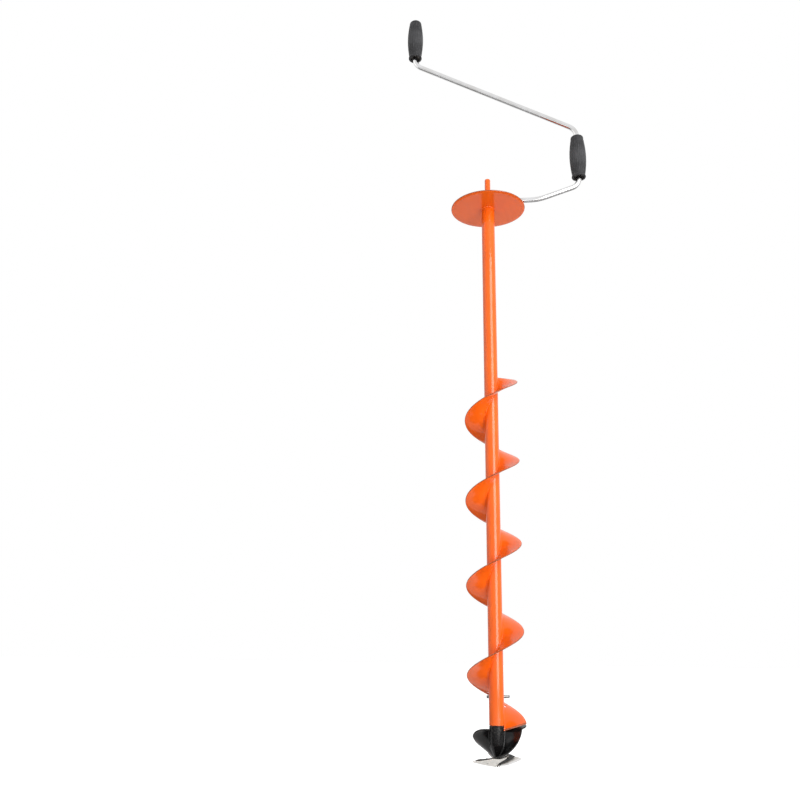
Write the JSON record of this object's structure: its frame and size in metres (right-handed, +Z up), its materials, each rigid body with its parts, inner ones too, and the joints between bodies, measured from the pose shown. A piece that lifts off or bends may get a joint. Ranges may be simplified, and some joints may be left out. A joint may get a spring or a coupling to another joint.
{
  "type": "ice fishing auger",
  "caption": "Hand ice auger: spiral flight on a tube, two-blade cutting head, stop disc, drive stub and a Z-shaped hand crank with turning grips.",
  "frame": {"origin": "centre of the drive stub's flat end, on the auger's axis", "axes": "+Z up along the auger's axis and out of the stub's end; +X from the axis to the lower grip; the crank lies in the XZ plane"},
  "size_m": [0.3575, 0.1434, 1.465],
  "materials": {
    "orange_paint": "glossy powder coat",
    "black_paint": "gloss black enamel",
    "bright_steel": "bright plated",
    "zinc_steel": "zinc plated",
    "ground_steel": "ground",
    "dark_steel": "dark hardened",
    "grip_rubber": "matte, ribbed",
    "liner_plastic": "moulded"
  },
  "bodies": {
    "auger": {"shaft_tube": "orange_paint", "flight": "orange_paint", "wing_screw_boss": "orange_paint", "disc_collar": "orange_paint", "stop_disc": "orange_paint", "crank_hub": "orange_paint", "drive_stub": "orange_paint"},
    "wing_screw": {"wing_screw": "zinc_steel"},
    "clamp_screw": {"clamp_screw": "zinc_steel"},
    "cutting_head": {"head_body": "black_paint", "head_spigot": "black_paint", "scoop_front": "black_paint", "scoop_back": "black_paint", "blade_front": "ground_steel", "blade_back": "ground_steel", "blade_screw_1": "dark_steel", "blade_screw_2": "dark_steel", "blade_screw_3": "dark_steel", "blade_screw_4": "dark_steel", "centre_point": "dark_steel"},
    "crank": {"crank_rod": "bright_steel", "lower_grip_washer_low": "dark_steel", "lower_grip_washer_high": "dark_steel", "upper_grip_washer_low": "dark_steel", "upper_grip_retainer": "dark_steel"},
    "lower_grip": {"lower_grip": "grip_rubber", "lower_grip_sleeve": "liner_plastic"},
    "upper_grip": {"upper_grip": "grip_rubber", "upper_grip_sleeve": "liner_plastic"}
  },
  "joints": [
    {"name": "wing_screw_turn", "type": "hinge", "parent": "auger", "child": "wing_screw", "pos_m": [0, 0, -0.972], "axis": [0.1045, 0.9945, 0], "continuous": true},
    {"name": "clamp_screw_turn", "type": "hinge", "parent": "auger", "child": "clamp_screw", "pos_m": [0, 0, -0.049], "axis": [0, 1, 0], "continuous": true},
    {"name": "head_release", "type": "slide", "parent": "auger", "child": "cutting_head", "axis": [0, 0, -1], "range_m": [0, 0.06]},
    {"name": "crank_release", "type": "slide", "parent": "auger", "child": "crank", "axis": [1, 0, 0], "range_m": [0, 0.03]},
    {"name": "lower_grip_spin", "type": "hinge", "parent": "crank", "child": "lower_grip", "pos_m": [0.1786, 0, 0.041], "axis": [0, 0, 1], "continuous": true},
    {"name": "upper_grip_spin", "type": "hinge", "parent": "crank", "child": "upper_grip", "pos_m": [-0.1465, 0, 0.3405], "axis": [0, 0, 1], "continuous": true}
  ]
}
